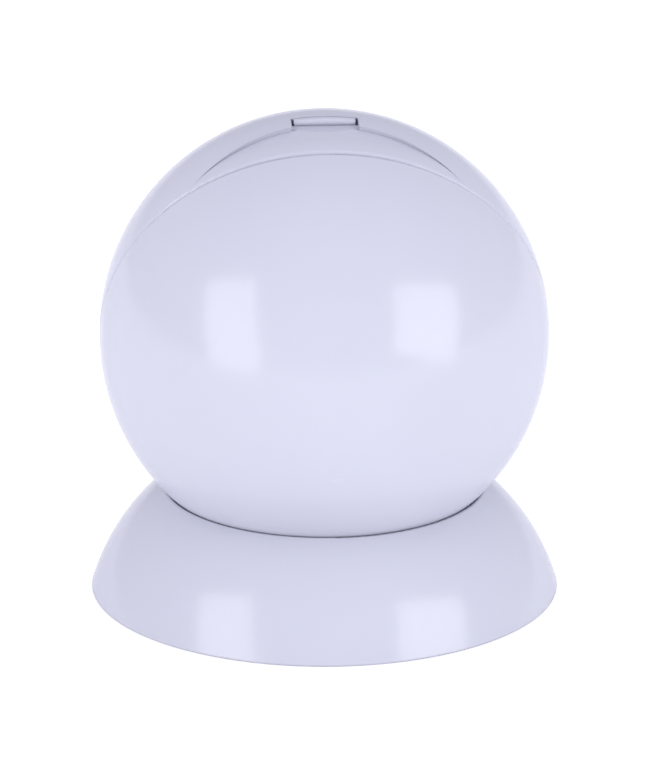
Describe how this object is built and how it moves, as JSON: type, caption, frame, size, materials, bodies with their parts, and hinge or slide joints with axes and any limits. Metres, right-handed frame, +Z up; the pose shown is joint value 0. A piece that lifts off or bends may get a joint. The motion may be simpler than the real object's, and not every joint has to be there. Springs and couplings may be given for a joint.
{
  "type": "motion sensor",
  "caption": "Battery-powered ball motion sensor that pans and tilts in a round magnetic dish base, with a twist-off rear cover.",
  "frame": {"origin": "centre of the base's underside, on the face of its foot ring", "axes": "+Z up; the lens looks towards +Y and 20 degrees above the horizontal; the rear cover faces -Y"},
  "size_m": [0.0522, 0.0522, 0.0546],
  "materials": {
    "white_shell": "gloss moulded ABS",
    "grey_plastic": "fine-textured ABS",
    "soft_grey": "matt elastomer",
    "soft_white": "matt elastomer",
    "zinc_steel": "zinc-plated pressing",
    "nickel": "nickel plate",
    "lens_plastic": "milky lens polyethylene",
    "black_plastic": "fine-textured black ABS",
    "screw_steel": "zinc-plated",
    "board": "green solder mask",
    "chip_black": "epoxy",
    "tinned_can": "tinned pressing",
    "copper_wire": "lacquered wire",
    "filter_glass": "dark optical window",
    "led_body": "clear epoxy over phosphor",
    "spring_nickel": "nickel-plated spring steel",
    "battery_can": "printed sleeve",
    "button_grey": "moulded"
  },
  "bodies": {
    "base": {"base_shell": "white_shell", "base_plate": "grey_plastic", "foot_ring": "soft_grey", "seat_ring": "soft_white"},
    "magnet_set": {"magnet_cup": "zinc_steel", "magnet": "nickel"},
    "head": {"front_housing": "white_shell", "lens": "lens_plastic", "lens_shroud": "black_plastic", "chassis": "black_plastic", "chassis_screws": "screw_steel", "pcb": "board", "pcb_screws": "screw_steel", "pcb_components": "chip_black", "radio_module": "tinned_can", "antenna": "copper_wire", "pir_can": "nickel", "pir_window": "filter_glass", "status_led": "led_body", "light_sensor": "filter_glass", "setup_switch": "chip_black", "contact_positive": "spring_nickel", "contact_negative": "spring_nickel", "contact_spring": "spring_nickel", "battery": "battery_can", "latch_spring": "spring_nickel"},
    "cover": {"rear_cover": "white_shell", "keeper_plate": "zinc_steel"},
    "latch": {"latch_button": "white_shell"},
    "setup_rod": {"setup_button": "button_grey"}
  },
  "joints": [
    {"name": "ball_pan", "type": "hinge", "parent": "base", "child": "magnet_set", "pos_m": [0, 0, 0.02965], "axis": [0, 0, 1], "continuous": true},
    {"name": "ball_tilt", "type": "hinge", "parent": "magnet_set", "child": "head", "pos_m": [0, 0, 0.02965], "axis": [1, 0, 0], "range_deg": [-30, 70]},
    {"name": "cover_twist", "type": "hinge", "parent": "head", "child": "cover", "pos_m": [0, 0, 0.02965], "axis": [0, -0.9397, -0.342], "range_deg": [0, 20]},
    {"name": "latch_press", "type": "slide", "parent": "head", "child": "latch", "axis": [0, 0.342, -0.9397], "range_m": [0, 0.0012], "stiffness_N_per_m": 900, "springref_m": -0.0006, "deforming": ["latch_spring"]},
    {"name": "setup_press", "type": "slide", "parent": "head", "child": "setup_rod", "axis": [0, 0.9397, 0.342], "range_m": [0, 0.0003], "stiffness_N_per_m": 3000, "springref_m": -0.0002}
  ]
}
